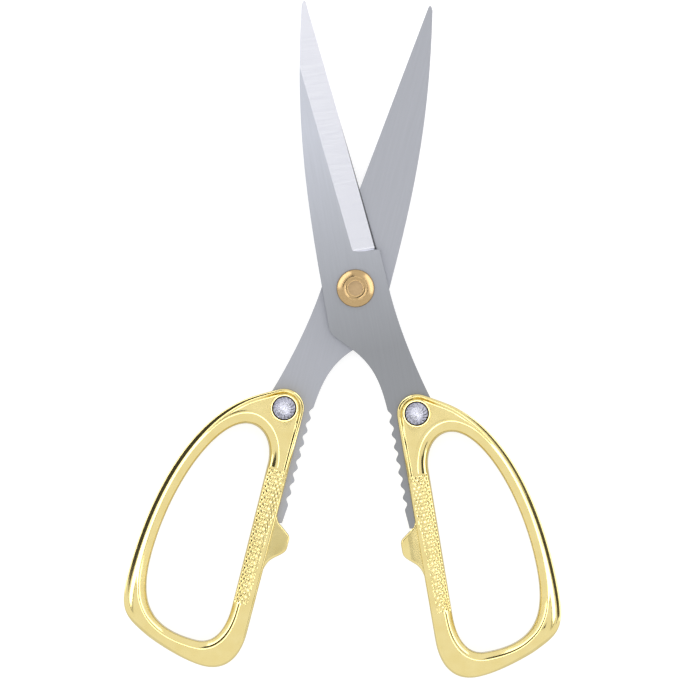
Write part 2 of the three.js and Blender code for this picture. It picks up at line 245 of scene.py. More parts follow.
def stations():
    made = []
    for stretch, steps in enumerate(STEPS):
        for i in range(steps):
            t = i / steps
            made.append((stretch + t, OUTLINE[stretch](t), FINGER_HOLE[stretch](t)))
    rows = []
    for i, (at, outer, inner) in enumerate(made):
        past, ahead = made[i - 1], made[(i + 1) % len(made)]
        rows.append((
            at, outer, inward(past[1], ahead[1], 1), inner, inward(past[2], ahead[2], -1),
        ))
    return rows


STATIONS = stations()
print(len(STATIONS), "stations")

# %% [markdown]
# ## Handle: the section
# The cast bar is not a round wire. Its face rises from a rounded outer edge to a ridge near the
# finger hole and falls to the hole more steeply, like a lopsided roof. A narrow facet beside the
# ridge draws a fine line along it. Round the stone the face parts into a rim along the outer edge
# and a round roll along the hole, with a sunk web between and a groove where web and rim meet.
# The table gives the measures at places round the loop, counted in stretches, and a smooth curve
# runs through them.

# %% Measures of the section round the loop
SECTION = {
    "place": (
        0, 0.15, 0.5, 0.85, 1, 1.25, 1.46, 1.58, 1.72, 1.84, 2,
        2.2, 2.4, 2.9, 3.15, 3.3, 3.45, 3.6, 4, 4.5, 5,
    ),
    # width of the rounded outer edge
    "edge": (
        0.15, 0.08, 0.03, 0.03, 0.03, 0.03, 0.03, 0.03, 0.03, 0.03, 0.03,
        0.03, 0.03, 0.03, 0.05, 0.15, 0.28, 0.3, 0.3, 0.3, 0.15,
    ),
    # outer edge to the rim's crest, and the heights of that edge and crest
    "rim": (
        0.45, 0.45, 0.45, 0.6, 0.75, 0.75, 0.75, 0.75, 0.75, 0.75, 0.85,
        1.1, 1.25, 1.25, 1.2, 1.1, 1, 1, 1, 0.7, 0.45,
    ),
    "outer": (
        3.35, 3.35, 3.35, 3.3, 3.6, 3.5, 3.4, 3.65, 3.8, 3.85, 3.85,
        3.65, 3.4, 3.15, 3.1, 2.6, 2.45, 2.45, 2.5, 3, 3.35,
    ),
    "rim_top": (
        3.75, 3.75, 3.75, 3.8, 4.48, 3.97, 3.72, 4, 4.3, 4.3, 4.3,
        4.15, 3.95, 3.7, 3.65, 3.45, 3.3, 3.2, 3.1, 3.5, 3.75,
    ),
    # finger hole to the ridge, and the heights of the hole's edge and of the ridge
    "ridge": (
        1.95, 2.6, 2.7, 2.7, 3, 2.8, 2.8, 2.8, 2.8, 2.9, 3,
        2.7, 2.35, 2.2, 2.2, 2.3, 2.2, 2.1, 2.1, 2.05, 1.95,
    ),
    "inner": (
        2.8, 2.65, 2.6, 2.4, 2.1, 2, 2, 2, 2, 2, 2,
        2, 2, 1.9, 1.8, 1.88, 2.25, 2.65, 2.9, 2.9, 2.8,
    ),
    "crest": (
        4.5, 4.5, 4.5, 4.5, 4.5, 4.4, 4.4, 4.4, 4.4, 4.35, 4.3,
        4.15, 3.95, 3.7, 3.7, 3.9, 4.2, 4.4, 4.5, 4.5, 4.5,
    ),
    # width of the facet beside the ridge, rounding on the ridge's other side, and how round
    # the side towards the hole is, from a straight slope (0) to a roll (1)
    "flat": (
        0.55, 0.3, 0.25, 0.2, 0.2, 0.2, 0.2, 0.2, 0.2, 0.2, 0.22,
        0.25, 0.25, 0.25, 0.25, 0.35, 0.45, 0.55, 0.6, 0.65, 0.55,
    ),
    "round": (
        0.3, 0.3, 0.3, 0.3, 0.7, 0.9, 0.9, 0.9, 0.9, 0.9, 0.8,
        0.5, 0.3, 0.3, 0.3, 0.3, 0.3, 0.3, 0.3, 0.3, 0.3,
    ),
    "full": (
        0.12, 0.65, 0.7, 0.8, 1, 1, 1, 1, 0.9, 0.7, 0.5,
        0.2, 0.05, 0, 0, 0.03, 0.06, 0.1, 0.1, 0.1, 0.12,
    ),
    # how far the web is sunk at the roll and at the rim, as shares
    "web": (
        0, 0, 0, 0.05, 0.8, 1, 1, 1, 1, 1, 1,
        0.6, 0, 0, 0, 0, 0, 0, 0, 0, 0,
    ),
    "trench": (
        0, 0, 0, 0, 1, 1, 1, 0.5, 0.5, 1, 1,
        0.6, 0, 0, 0, 0, 0, 0, 0, 0, 0,
    ),
}


def ease(share):
    """Slows a share down near 0 and near 1."""
    return share * share * (3 - 2 * share)


def measure(name, at):
    """A measure of the section at a place round the loop, eased between its marks."""
    places, values = SECTION["place"], SECTION[name]
    for i in range(len(places) - 1):
        if at <= places[i + 1]:
            share = (at - places[i]) / (places[i + 1] - places[i])
            return values[i] + ease(share) * (values[i + 1] - values[i])
    return values[-1]


# %% One section as points
RIM_EDGE = 0.2  # height of the rounding of the outer edge, where it is fine
FINE_EDGE = 0.03  # and its width there
RIM_FALL = 0.55  # from the rim's crest in to the web
WEB_STEP = 0.235  # from the crest of the roll down to the web
WEB_SLOPE = 0.13  # of the web, down towards the rim
WEB_LIMIT = 6  # the slope falls no further than over this distance
RIDGE_BREAK = 0.45  # slope of the narrow facet beside the ridge
CORNER = 0.35  # the web bends up to the rim and the roll within this distance
LEAST_FACE = 0.5  # the face between rim and ridge is no narrower
FALL_SHARE = 0.3  # of that face, at most, for the fall from the rim
BESIDE_SHARE = 0.6  # of that face, at most, for the rounding beside the ridge
CORNER_SHARE = 0.25  # of the web, at most, for a corner
SHOULDER = 0.25  # share of the drop to the web that is gone halfway
ROLL_SHARES = (0, 0.45, 0.76, 0.945)  # points from the facet to the hole
HOLE_EDGE = 0.6  # height of the rounding of the hole's edge


def section(station):
    """The front of the section, from the outer wall to the wall of the hole, in millimetres."""
    at, outer, out_normal, inner, in_normal = station
    rim, rim_top = measure("rim", at), measure("rim_top", at)
    ridge, crest = measure("ridge", at), measure("crest", at)
    flat, rounding = measure("flat", at), measure("round", at)
    low_out, low_in = measure("outer", at), measure("inner", at)
    web, full = measure("web", at), measure("full", at)
    edge = measure("edge", at)
    wider = edge - FINE_EDGE
    width = (inner - outer).dot((out_normal - in_normal).normalized())
    between = max(width - ridge - rim, LEAST_FACE)
    rise = (crest - rim_top) / between
    fall = min(RIM_FALL, FALL_SHARE * between)

    def from_outer(distance, height):
        return Vector((*(outer + out_normal * distance), height))

    def from_hole(distance, height):
        return Vector((*(inner + in_normal * distance), height))

    # the facet's end, as shares of the way and of the fall to the hole
    start = flat / ridge
    broken = RIDGE_BREAK * flat / (crest - low_in)

    def roll(share):
        """A point between the facet (0) and the hole's edge (1), on a slope or a round roll."""
        reach = start + (1 - start) * share
        straight = broken + (1 - broken) * share
        fallen = (1 - full) * straight + full * (1 - math.sqrt(1 - reach * reach))
        return from_hole(ridge * (1 - reach), crest - (crest - low_in) * fallen)

    beside = min(flat + rounding, BESIDE_SHARE * between)
    drop = max(rise * beside, WEB_STEP * web)
    low_web = crest - drop
    crease = from_hole(ridge + beside, low_web)
    groove = from_outer(rim + fall, low_web)
    across_web = (crease - groove).length
    plain = rim_top + rise * fall
    low_groove = low_web - WEB_SLOPE * min(across_web, WEB_LIMIT)
    groove.z = plain + measure("trench", at) * min(low_groove - plain, 0)
    corner = min(CORNER / across_web, CORNER_SHARE)

    def on_web(share):
        """A point of the web, at a share of the way from the roll to the rim."""
        point = crease.lerp(groove, share)
        point.z += web * (low_web - WEB_SLOPE * share * across_web - point.z)
        return point

    shoulder = crest - SHOULDER * (0.5 * rise * beside + drop)
    return [
        from_outer(0, 0),
        from_outer(0, low_out - RIM_EDGE - wider),
        from_outer(edge, low_out),
        from_outer(0.5 * (rim + wider), (rim_top + low_out) / 2),
        from_outer(rim, rim_top),
        groove,
        groove.lerp(on_web(0.5), corner),
        on_web(0.5),
        on_web(corner),
        crease,
        from_hole(ridge + 0.5 * beside, shoulder),
        from_hole(ridge, crest),
        *[roll(share) for share in ROLL_SHARES],
        from_hole(0, low_in - HOLE_EDGE),
        from_hole(0, 0),
    ]


SECTIONS = [section(s) for s in STATIONS]
RIDGE_POINT = 11  # number of the ridge's point in a section
print(len(SECTIONS[0]), "points in a section")

# %% [markdown]
# ## Handle: the bar
# The bar could be a bevelled curve, but then its section would be the same all round. Instead
# a circle with one vertex for each station is laid on the outer outline and extruded ring after
# ring, each ring laid on the next point of the sections. A mirror gives the back, and two levels
# of subdivision round it. An attribute remembers how far across the face each vertex lies, and it
# is carried through the subdivision for the knurl.

# %% Rings that grow by extrusion
MERGE = 0.001  # vertices closer than this are one


def first_ring(vertices):
    """An open circle, of any size yet, whose vertices know their number."""
    bpy.ops.mesh.primitive_circle_add(vertices=vertices, radius=MM)
    obj = bpy.context.object
    number = obj.data.attributes.new("number", "INT", "POINT")
    number.data.foreach_set("value", list(range(vertices)))
    return obj


def lay(obj, points):
    """Moves the selected ring's vertices to their points, given in millimetres."""
    bpy.ops.object.mode_set(mode="OBJECT")
    number = obj.data.attributes["number"].data
    for vertex in obj.data.vertices:
        if vertex.select:
            vertex.co = points[number[vertex.index].value] * MM
    bpy.ops.object.mode_set(mode="EDIT")


def grow(obj, rings):
    """Lays the first ring, then extrudes and lays one ring after the other."""
    edit(obj)
    lay(obj, rings[0])
    for ring in rings[1:]:
        bpy.ops.mesh.extrude_region_move()
        lay(obj, ring)
    bpy.ops.object.mode_set(mode="OBJECT")


def close_up(obj, fill=False):
    """Fills the open ends if asked to, merges doubled vertices and turns the faces outwards."""
    edit(obj)
    if fill:
        bpy.ops.mesh.fill_holes(sides=0)
        bpy.ops.mesh.select_all(action="SELECT")
    bpy.ops.mesh.remove_doubles(threshold=MERGE * MM)
    bpy.ops.mesh.normals_make_consistent(inside=False)
    bpy.ops.object.mode_set(mode="OBJECT")


# %% The plain bar
bar = first_ring(len(STATIONS))
grow(bar, [[row[k] for row in SECTIONS] for k in range(len(SECTIONS[0]))])

across_of = []
for row in SECTIONS:
    reached = [0.0]
    for a, b in zip(row, row[1:]):
        reached.append(reached[-1] + (b - a).length)
    across_of.append([r - reached[RIDGE_POINT] for r in reached])
kept = bar.data.attributes.new("across", "FLOAT", "POINT")
number = bar.data.attributes["number"].data
for vertex in bar.data.vertices:
    ring = vertex.index // len(STATIONS)
    kept.data[vertex.index].value = across_of[number[vertex.index].value][ring]

apply_modifier(
    bar, "back", "MIRROR", use_axis=(False, False, True), merge_threshold=2 * MERGE * MM,
)
close_up(bar)
apply_modifier(bar, "round", "SUBSURF", levels=2, render_levels=2)
count(bar)

# %% [markdown]
# ## Handle: the knurl
# The inner leg is rolled with a diamond knurl: a raised net with small pits between its lines,
# about 2 mm long and 1.25 mm across. The pits have flat floors and are shallower on the broad
# face. At this size it shows, so it is geometry and not a bump map. The depth of every vertex goes
# into a vertex group, and a Displace modifier presses the surface in by it.

# %% Press the knurl
KNURL_LENGTH = 1.96
KNURL_WIDTH = 1.25
KNURL_DEPTH = 0.2
KNURL_WALL = 0.5  # share of a pit that slopes; the rest is its flat floor
KNURL_FADE = 0.5  # share of the depth that is missing on the broad face
KNURL_FADING = (0.8, 1.4)  # from the first row of pits, where it goes missing
KNURL_SHIFT = 0.55  # from the ridge to the first row of pits towards the hole
KNURL_TOP = -54.2
KNURL_END = -94
KNURL_REACH = (-3.4, 2.6)  # across the face, from the ridge
END_FADE = 1.5  # the knurl comes in gently over these distances
TOP_FADE = 0.5
SIDE_FADE = 0.4
LEG_LIMIT = 13  # nothing further from the mid-line belongs to the leg


def ramp(value, start, end):
    """Eases from 0 to 1 between two values."""
    return ease(min(max((value - start) / (end - start), 0), 1))


def pit(along, sideways):
    """Depth of the knurl between 0, on its net, and 1, on the floor of a pit."""
    first = (along / KNURL_LENGTH + sideways / KNURL_WIDTH) % 1
    second = (along / KNURL_LENGTH - sideways / KNURL_WIDTH) % 1
    inside = min(1 - abs(2 * first - 1), 1 - abs(2 * second - 1))
    return min(inside / KNURL_WALL, 1) * (1 - KNURL_FADE * ramp(-sideways, *KNURL_FADING))


across = [a.value for a in bar.data.attributes["across"].data]
pressed = bar.vertex_groups.new(name="knurl")
for vertex in bar.data.vertices:
    x, y = vertex.co.xy / MM
    if x > LEG_LIMIT or not KNURL_END < y < KNURL_TOP:
        continue
    sideways = across[vertex.index]
    held = ramp(y, KNURL_END, KNURL_END + END_FADE)
    held *= ramp(-y, -KNURL_TOP, -KNURL_TOP + TOP_FADE)
    held *= ramp(sideways, KNURL_REACH[0], KNURL_REACH[0] + SIDE_FADE)
    held *= ramp(-sideways, -KNURL_REACH[1], -KNURL_REACH[1] + SIDE_FADE)
    if held > 0:
        pressed.add([vertex.index], held * pit(y, sideways - KNURL_SHIFT), "REPLACE")
apply_modifier(
    bar, "knurl", "DISPLACE", vertex_group="knurl", mid_level=0, strength=-KNURL_DEPTH * MM,
)
print("knurl pressed")

# %% [markdown]
# ## Handle: lug, setting and slot
# The stop lug is a flat outline that is extruded and bevelled, the setting is a disc with its edge
# broken, and both are joined to the bar. Then the slot for the tang, the seats for the stones and
# the hole for the pin are cut. Booleans suit this: on the real handle these are cores and cutters
# too, and the bar keeps its surface everywhere else.

# %% Flat outlines raised to plates


def plate(name, points, bottom, top):
    """A closed outline, filled and extruded from one height to another."""
    obj = first_ring(len(points))
    obj.name = name
    grow(obj, [[Vector((*p, bottom)) for p in points]])
    edit(obj)
    bpy.ops.mesh.edge_face_add()
    bpy.ops.mesh.extrude_region_move(TRANSFORM_OT_translate={"value": (0, 0, (top - bottom) * MM)})
    bpy.ops.object.mode_set(mode="OBJECT")
    close_up(obj)
    return obj


def run(curve, steps):
    """Points along a curve, without its last one."""
    return [curve(i / steps) for i in range(steps)]


def disc(name, centre, radius, bottom, top, sides=64):
    return plate(name, run(arc(centre, radius, 0, 2 * math.pi), sides), bottom, top)


def combine(obj, tool, operation):
    """Joins a tool to a piece or cuts it out, and removes the tool."""
    apply_modifier(obj, "shape", "BOOLEAN", object=tool, operation=operation, solver="MANIFOLD")
    bpy.data.objects.remove(tool)


def break_edges(obj, width, segments, angle):
    """Bevels every edge that is sharper than an angle."""
    apply_modifier(
        obj, "edge", "BEVEL", width=width * MM, segments=segments, limit_method="ANGLE",
        angle_limit=math.radians(angle),
    )


# %% Join the lug and the setting
LUG_HALF = 2.95
LUG_EDGE = 0.6
LUG_ROOT = 6.0
LUG_BREAK = 2.4  # where its face starts to fall faster towards the nose
LUG_SLOPES = (0.03, 0.06)  # share of its height lost for each millimetre, before and after
NEAR = 0.01  # places closer than this count as the same

lug_points = [
    (7.2, -66.6),
    *run(bezier((5.1, -66.8), (4.9, -68.2), (4.4, -68.9), (3.4, -69.55)), 5),
    (3.4, -69.55),
    *run(line((LUG_BREAK, -70.28), (0.9, -71.4)), 2),
    *run(bezier((0.9, -71.4), (0.45, -71.75), (0.15, -72.3), (0.15, -73.2)), 5),
    *run(line((0.15, -73.2), (0.15, -75.2)), 2),
    *run(bezier((0.15, -75.2), (0.15, -76.4), (0.85, -77.0), (LUG_BREAK, -78.3)), 7),
    *run(bezier((LUG_BREAK, -78.3), (3.9, -79.5), (4.7, -80.4), (5.1, -83.0)), 8),
    (5.1, -83.0),
    (7.2, -83.4),
]
lug = plate("lug", lug_points, -LUG_HALF, LUG_HALF)
for side in (-1, 1):
    choose(lug)
    for vertex in lug.data.vertices:
        on_face = vertex.co.z * side > 0
        vertex.select = on_face and abs(vertex.co.x / MM - LUG_BREAK) < NEAR
    bpy.ops.object.mode_set(mode="EDIT")
    bpy.ops.mesh.vert_connect()
    bpy.ops.mesh.select_all(action="DESELECT")
    bpy.ops.object.mode_set(mode="OBJECT")
break_edges(lug, LUG_EDGE, segments=4, angle=60)
for vertex in lug.data.vertices:
    x = vertex.co.x / MM
    lost = LUG_SLOPES[0] * max(LUG_ROOT - max(x, LUG_BREAK), 0)
    lost += LUG_SLOPES[1] * max(LUG_BREAK - x, 0)
    vertex.co.z *= 1 - lost
combine(bar, lug, "UNION")

SEAT_RADIUS = 3.5
SEAT_FLOOR = 3.5
BEZEL_RADIUS = 4.0
BEZEL_EDGE = 0.34
setting = disc("setting", BOSS, BEZEL_RADIUS, -HANDLE_TOP, HANDLE_TOP)
break_edges(setting, BEZEL_EDGE, segments=4, angle=60)
combine(bar, setting, "UNION")

# %% Cut the slot, the seats and the pin hole
SLOT_TOP = 2.6
SEAT_GAP = 0.15
TANG_BACK = 9.6
TANG_END = -69.4
TONGUE_END = -73.4
NECK = (15.5, -34.2)
TONGUE_FRONT = 6.0
TANG_TURN = 0.8  # the tang's side turns in so far under the boss, in radii of the boss
TANG_STRAIGHT = 2.4  # and is straight from here
OUTSIDE = (-9.2, -26.5)  # the slot's cutter starts well outside the handle
CUT_HEIGHT = 6  # cutters reach past the faces of the handle
PIN_HOLE = 1.45
PIN_SIDES = 32


def tang_side(gap):
    """The outer side of the tang inside the handle, from the mouth down to the tongue."""
    mouth_y = NECK[1] - BOSS_RADIUS
    turn_y = BOSS[1] - TANG_TURN * BOSS_RADIUS
    back = TANG_BACK + gap
    flow = bezier(
        (NECK[0] + gap, mouth_y), (NECK[0] + gap, turn_y), (back, turn_y),
        (back, BOSS[1] - TANG_STRAIGHT * BOSS_RADIUS),
    )
    return [*run(flow, 16), flow(1), Vector((back, TONGUE_END - gap))]


slot_points = [
    OUTSIDE, (NECK[0] + SEAT_GAP, OUTSIDE[1]), *tang_side(SEAT_GAP),
    (TONGUE_FRONT - SEAT_GAP, TONGUE_END - SEAT_GAP),
    (TONGUE_FRONT - SEAT_GAP, TANG_END - SEAT_GAP),
    (OUTSIDE[0], TANG_END - SEAT_GAP),
]
combine(bar, plate("slot", slot_points, 0, SLOT_TOP), "DIFFERENCE")
combine(bar, disc("front_seat", BOSS, SEAT_RADIUS, SEAT_FLOOR, CUT_HEIGHT), "DIFFERENCE")
combine(bar, disc("rear_seat", BOSS, SEAT_RADIUS, -CUT_HEIGHT, -SEAT_FLOOR), "DIFFERENCE")
combine(bar, disc("pin_hole", BOSS, PIN_HOLE, -CUT_HEIGHT, CUT_HEIGHT, PIN_SIDES), "DIFFERENCE")
count(bar)

# %% [markdown]
# ## Blade
# A blade and its tang are one stamped plate, 2.3 mm thick. The outline is laid as a ring of
# vertices and extruded. The long bevel is ground on by taking a wedge away. Its lower end runs out
# in a short curved ramp, the mark of the grinding wheel. All edges are broken by a fine bevel,
# which gives the thin bright lines that make steel look like steel.

# %% Outline of the blade
BLADE_BOTTOM = 0.15
BLADE_TOP = 2.45
BLADE_LENGTH = 82.7
TIP_WIDTH = 1.2
SPINE = -9.2
EDGE_REACH = 7.8
EDGE_START = 9.6
EDGE_STEP = 0.65  # the blade steps out where the edge starts
SPINE_START = 6  # the spine curves in from here up
HEEL_DROP = 11.2
HEEL_TURN = math.radians(46)
HEEL_REACH = 5.2
HEEL_ROUND = 2
TOOTH_REACH = 2.9
TOOTH_DEPTH = 0.9
TOOTH_PITCH = 3.6
TEETH = 8
TOOTH_STEPS = 12
TEETH_TOP = -35


def edge_at(y):
    """How far out the cutting edge lies at a height above the pivot."""
    return EDGE_REACH * (BLADE_LENGTH - y) / (BLADE_LENGTH - EDGE_START)


def teeth():
    """The gripping teeth of the tang, from the bottom up."""
    rows = []
    for i in range(TEETH * TOOTH_STEPS):
        angle = 2 * math.pi * i / TOOTH_STEPS
        y = TEETH_TOP - TEETH * TOOTH_PITCH + TOOTH_PITCH * i / TOOTH_STEPS
        rows.append((TOOTH_REACH + TOOTH_DEPTH * (1 - math.cos(angle)) / 2, y))
    return rows


heel_end = (SPINE + HEEL_REACH, -HEEL_DROP - HEEL_REACH * math.tan(HEEL_TURN))
heel_low = (
    SPINE + HEEL_ROUND * math.cos(HEEL_TURN), -HEEL_DROP - HEEL_ROUND * math.sin(HEEL_TURN),
)
heel_top = (SPINE, -HEEL_DROP + HEEL_ROUND)
spine_tip = (-TIP_WIDTH, BLADE_LENGTH - 1.6 * TIP_WIDTH)
edge_tip = (edge_at(BLADE_LENGTH - TIP_WIDTH), BLADE_LENGTH - TIP_WIDTH)
spine_rise = spine_tip[1] - SPINE_START
blade_points = [
    edge_tip,
    (EDGE_REACH, EDGE_START),
    (EDGE_REACH + EDGE_STEP, EDGE_START),
    *run(bezier((9.2, -1), (9.7, -11), (NECK[0] - 3.1, NECK[1] + 10), NECK), 24),
    NECK,
    *tang_side(0),
    (TONGUE_FRONT, TONGUE_END),
    (TONGUE_FRONT, TANG_END),
    (TOOTH_REACH + 0.4, TANG_END + 0.5),
    *teeth(),
    *run(bezier(
        (TOOTH_REACH, TEETH_TOP), (TOOTH_REACH - 0.5, TEETH_TOP + 8),
        (heel_end[0] + 5, heel_end[1] - 5 * math.tan(HEEL_TURN)), heel_end,
    ), 24),
    heel_end,
    *run(bezier(
        heel_low, (SPINE + 0.45, -HEEL_DROP - 0.48), (SPINE, -HEEL_DROP + 0.67), heel_top,
    ), 8),
    heel_top,
    *run(bezier(
        (SPINE, SPINE_START), (SPINE, SPINE_START + 0.4 * spine_rise),
        (0.77 * SPINE, SPINE_START + 0.66 * spine_rise), spine_tip,
    ), 40),
    *run(bezier(
        spine_tip, (-0.56, BLADE_LENGTH - 0.64), (-0.13, BLADE_LENGTH - 0.4), edge_tip,
    ), 6),
]
blade = plate("blade", blade_points, BLADE_BOTTOM, BLADE_TOP)
print(len(blade_points), "points in the blade's outline")

# %% Grind the bevel and drill the holes
GRIND_WIDTH = 6.7
EDGE_THICKNESS = 0.3
RUN_OUT = 1.1  # length of the ramp at the lower end of the bevel
RAMP_RISE = 2.3
RAMP_STEPS = 5
OVER = 1.0  # the wedge reaches so far over the blade
PAST = 2  # and so far past its edge and tip
PIVOT_HOLE = 1.58
PIVOT_SIDES = 48
DRILLED = (-1, 5)  # heights between which the holes are drilled

edge_lean = math.hypot(EDGE_REACH, BLADE_LENGTH - EDGE_START) / (BLADE_LENGTH - EDGE_START)
grind_across = GRIND_WIDTH * edge_lean
grind_fall = (BLADE_TOP - BLADE_BOTTOM - EDGE_THICKNESS) / grind_across


def wedge_ring(y, height):
    """A three-cornered cut across the blade, raised by a height."""
    edge = edge_at(y)
    low = BLADE_BOTTOM + EDGE_THICKNESS - PAST * grind_fall + height
    back = edge - grind_across - OVER / grind_fall + height / grind_fall
    return [
        Vector((edge + PAST, y, BLADE_TOP + OVER)),
        Vector((edge + PAST, y, low)),
        Vector((back, y, BLADE_TOP + OVER)),
    ]


wedge_rings = [wedge_ring(BLADE_LENGTH + PAST, 0)]
for k in range(RAMP_STEPS + 1):
    angle = k / RAMP_STEPS * math.pi / 2
    lifted = RAMP_RISE * (1 - math.cos(angle))
    wedge_rings.append(wedge_ring(EDGE_START + RUN_OUT - RUN_OUT * math.sin(angle), lifted))
wedge = first_ring(3)
grow(wedge, wedge_rings)
close_up(wedge, fill=True)
combine(blade, wedge, "DIFFERENCE")
combine(blade, disc("pivot_hole", (0, 0), PIVOT_HOLE, *DRILLED, PIVOT_SIDES), "DIFFERENCE")
combine(blade, disc("pin_hole", BOSS, PIN_HOLE, *DRILLED, PIN_SIDES), "DIFFERENCE")
count(blade)

# %% Mark the ground faces and break the edges
BROKEN_EDGE = 0.12
GROUND_LEAN = (0.3, 0.99)  # upward part of the normals of ground faces
FLAT_ANGLE = 0.5  # faces that meet at less than this become one

blade.data.materials.append(None)
blade.data.materials.append(None)
for face in blade.data.polygons:
    leaning = GROUND_LEAN[0] < face.normal.z < GROUND_LEAN[1]
    on_bevel = leaning and face.center.y / MM > EDGE_START - PAST
    face.material_index = 1 if on_bevel else 0
edit(blade)
bpy.ops.mesh.dissolve_limited(angle_limit=math.radians(FLAT_ANGLE), delimit={"MATERIAL"})
bpy.ops.object.mode_set(mode="OBJECT")
break_edges(blade, BROKEN_EDGE, segments=2, angle=40)
count(blade)

# %% [markdown]
# ## Pivot
# The rivet holds a brass cap on each side. A cap has a sloping flank, a rounded crest and a dished
# middle, and the rivet's end is peened into the dish. All are turned parts, so a circle is
# extruded ring by ring along the profile.

# %% Turn the caps and the rivet
TURNED_SIDES = 96


def turned(name, profile, closed):
    """A round piece about the pivot, from radius and height points."""
    obj = first_ring(TURNED_SIDES)
    obj.name = name
    rings = []
    for radius, height in profile:
        points = run(arc((0, 0), radius, 0, 2 * math.pi), TURNED_SIDES)
        rings.append([Vector((*p, height)) for p in points])
    grow(obj, rings)
    close_up(obj, fill=closed)
    return obj


CAP_BOTTOM = 2.6
CAP_RADIUS = 5.3
CAP_BORE = 1.65
cap_profile = [
    (CAP_BORE, CAP_BOTTOM), (5.2, CAP_BOTTOM), (CAP_RADIUS, 2.7),
    (CAP_RADIUS, 2.95), (5.26, 3.14), (5.13, 3.3), (4.9, 3.48), (4.6, 3.7), (4.3, 3.91),
    (4.0, 4.1), (3.75, 4.25), (3.55, 4.36), (3.42, 4.43), (3.32, 4.48), (3.24, HANDLE_TOP),
    (3.16, 4.48), (3.06, 4.41), (2.94, 4.3), (2.8, 4.19), (2.6, 4.09),
    (2.35, 4.03), (2.1, 4.01), (CAP_BORE, 4.0), (CAP_BORE, CAP_BOTTOM),
]
cap = turned("cap", cap_profile, closed=False)

RIVET_END = 4.5
half_rivet = [
    (1.5, 4.1), (2.0, 4.1), (2.09, 4.14), (2.1, 4.2), (2.08, 4.26), (2.0, 4.3),
    (1.8, 4.34), (1.4, 4.4), (0.9, 4.46), (0.4, RIVET_END),
]
other_half = [(r, -z) for r, z in reversed(half_rivet)]
rivet = turned("rivet", other_half + half_rivet, closed=True)
count(cap)

# %% [markdown]
# ## Cut stones
# A foil-backed glass brilliant sits in each setting. The crown is clear glass with a flat table,
# and the light comes back from a foil of narrow facets under it, which gives the spokes and the
# bright middle that one sees from above. The foil is a second piece under the glass.

# %% Glass crown and foil
STONE_RADIUS = 3.1
STONE_BOTTOM = 3.65
STONE_TOP = 4.4
STONE_SIDES = 32


def stone_ring(radii, heights):
    """A ring whose vertices take the radii and heights in turn."""
    points = []
    for i in range(STONE_SIDES):
        a = 2 * math.pi * i / STONE_SIDES
        r, z = radii[i % len(radii)], heights[i % len(heights)]
        points.append(Vector((BOSS[0] + r * math.cos(a), BOSS[1] + r * math.sin(a), z)))
    return points


def stone(name, rings):
    """A closed piece of the setting's stone, from its rings."""
    obj = first_ring(STONE_SIDES)
    obj.name = name
    grow(obj, rings)
    close_up(obj, fill=True)
    return obj


GIRDLE = 4.0
glass = stone("glass", [
    stone_ring((3.05,), (GIRDLE - 0.08,)),
    stone_ring((STONE_RADIUS,), (GIRDLE,)),
    stone_ring((2.5,), (4.22, 4.2, 4.17, 4.2)),
    stone_ring((1.7,), (STONE_TOP,)),
])
FOIL_RIM = 3.9
foil = stone("foil", [
    stone_ring((0.3,), (STONE_BOTTOM,)),
    stone_ring((3.0,), (STONE_BOTTOM,)),
    stone_ring((3.05,), (FOIL_RIM,)),
    stone_ring((2.3,), (3.88, 3.76)),
    stone_ring((1.3,), (3.76, 3.86)),
    stone_ring((0.45,), (3.72,)),
    stone_ring((0.25,), (3.8,)),
])
count(glass)
count(foil)

# %% [markdown]
# ## Finishes
# Each finish starts from the real material. One function turns the sRGB hex colours that one
# reads off a picture into linear values, and one adds a node with its settings and links. Patterns
# on the blades read an attribute that holds the place on the closed drawing, so the brushing
# follows each blade however it is turned.

# %% Helpers for materials


def colour(code):
    """An sRGB hex colour as linear values."""
    parts = [int(code[i : i + 2], 16) / 255 for i in (0, 2, 4)]
    linear = [p / 12.92 if p <= 0.04045 else ((p + 0.055) / 1.055) ** 2.4 for p in parts]
    return (*linear, 1)


def wire(tree, made, inputs):
    """Sets a node's inputs, or links them."""
    for socket, value in inputs.items():
        if isinstance(value, bpy.types.NodeSocket):
            tree.links.new(value, made.inputs[socket])
        else:
            made.inputs[socket].default_value = value


def node(tree, kind, inputs=None, **settings):
    """Adds a shader node with its settings and its inputs."""
    made = tree.nodes.new("ShaderNode" + kind)
    for key, value in settings.items():
        setattr(made, key, value)
    wire(tree, made, inputs or {})
    return made


def new_finish(name):
    """A new material with its Principled shader."""
    material = bpy.data.materials.new(name)
    material.use_nodes = True
    return material, material.node_tree, material.node_tree.nodes["Principled BSDF"]


def set_stops(ramp, tones, span=(0, 1)):
    """Gives the two stops of a colour ramp their tones and places."""
    for stop, tone, position in zip(ramp.color_ramp.elements, tones, span):
        stop.position = position
        stop.color = tone


def brushed(tree, sizes, detail):
    """The place on the closed drawing, and noise there that is stretched to sizes in millimetres."""
    drawn = node(tree, "Attribute", attribute_name="drawn").outputs["Vector"]
    stretched = node(tree, "Mapping", {
        "Vector": drawn, "Scale": [1 / (size * MM) for size in sizes],
    })
    lines = node(tree, "TexNoise", {
        "Vector": stretched.outputs["Vector"], "Scale": 1.0, "Detail": detail,
    })
    return drawn, lines.outputs["Fac"]


def mottled(tree, size, detail, codes, span=(0, 1)):
    """Noise of a size in millimetres, and two tones that follow it over a span of its values."""
    place = node(tree, "TexCoord")
    spots = node(tree, "TexNoise", {
        "Vector": place.outputs["Object"], "Scale": 1 / (size * MM), "Detail": detail,
    })
    tone = node(tree, "ValToRGB", {"Fac": spots.outputs["Fac"]})
    set_stops(tone, [colour(code) for code in codes], span)
    return spots.outputs["Fac"], tone.outputs["Color"]


# %% Keep the place of each vertex on the closed drawing
kept = blade.data.attributes.new("drawn", "FLOAT_VECTOR", "POINT")
for vertex in blade.data.vertices:
    kept.data[vertex.index].vector = vertex.co

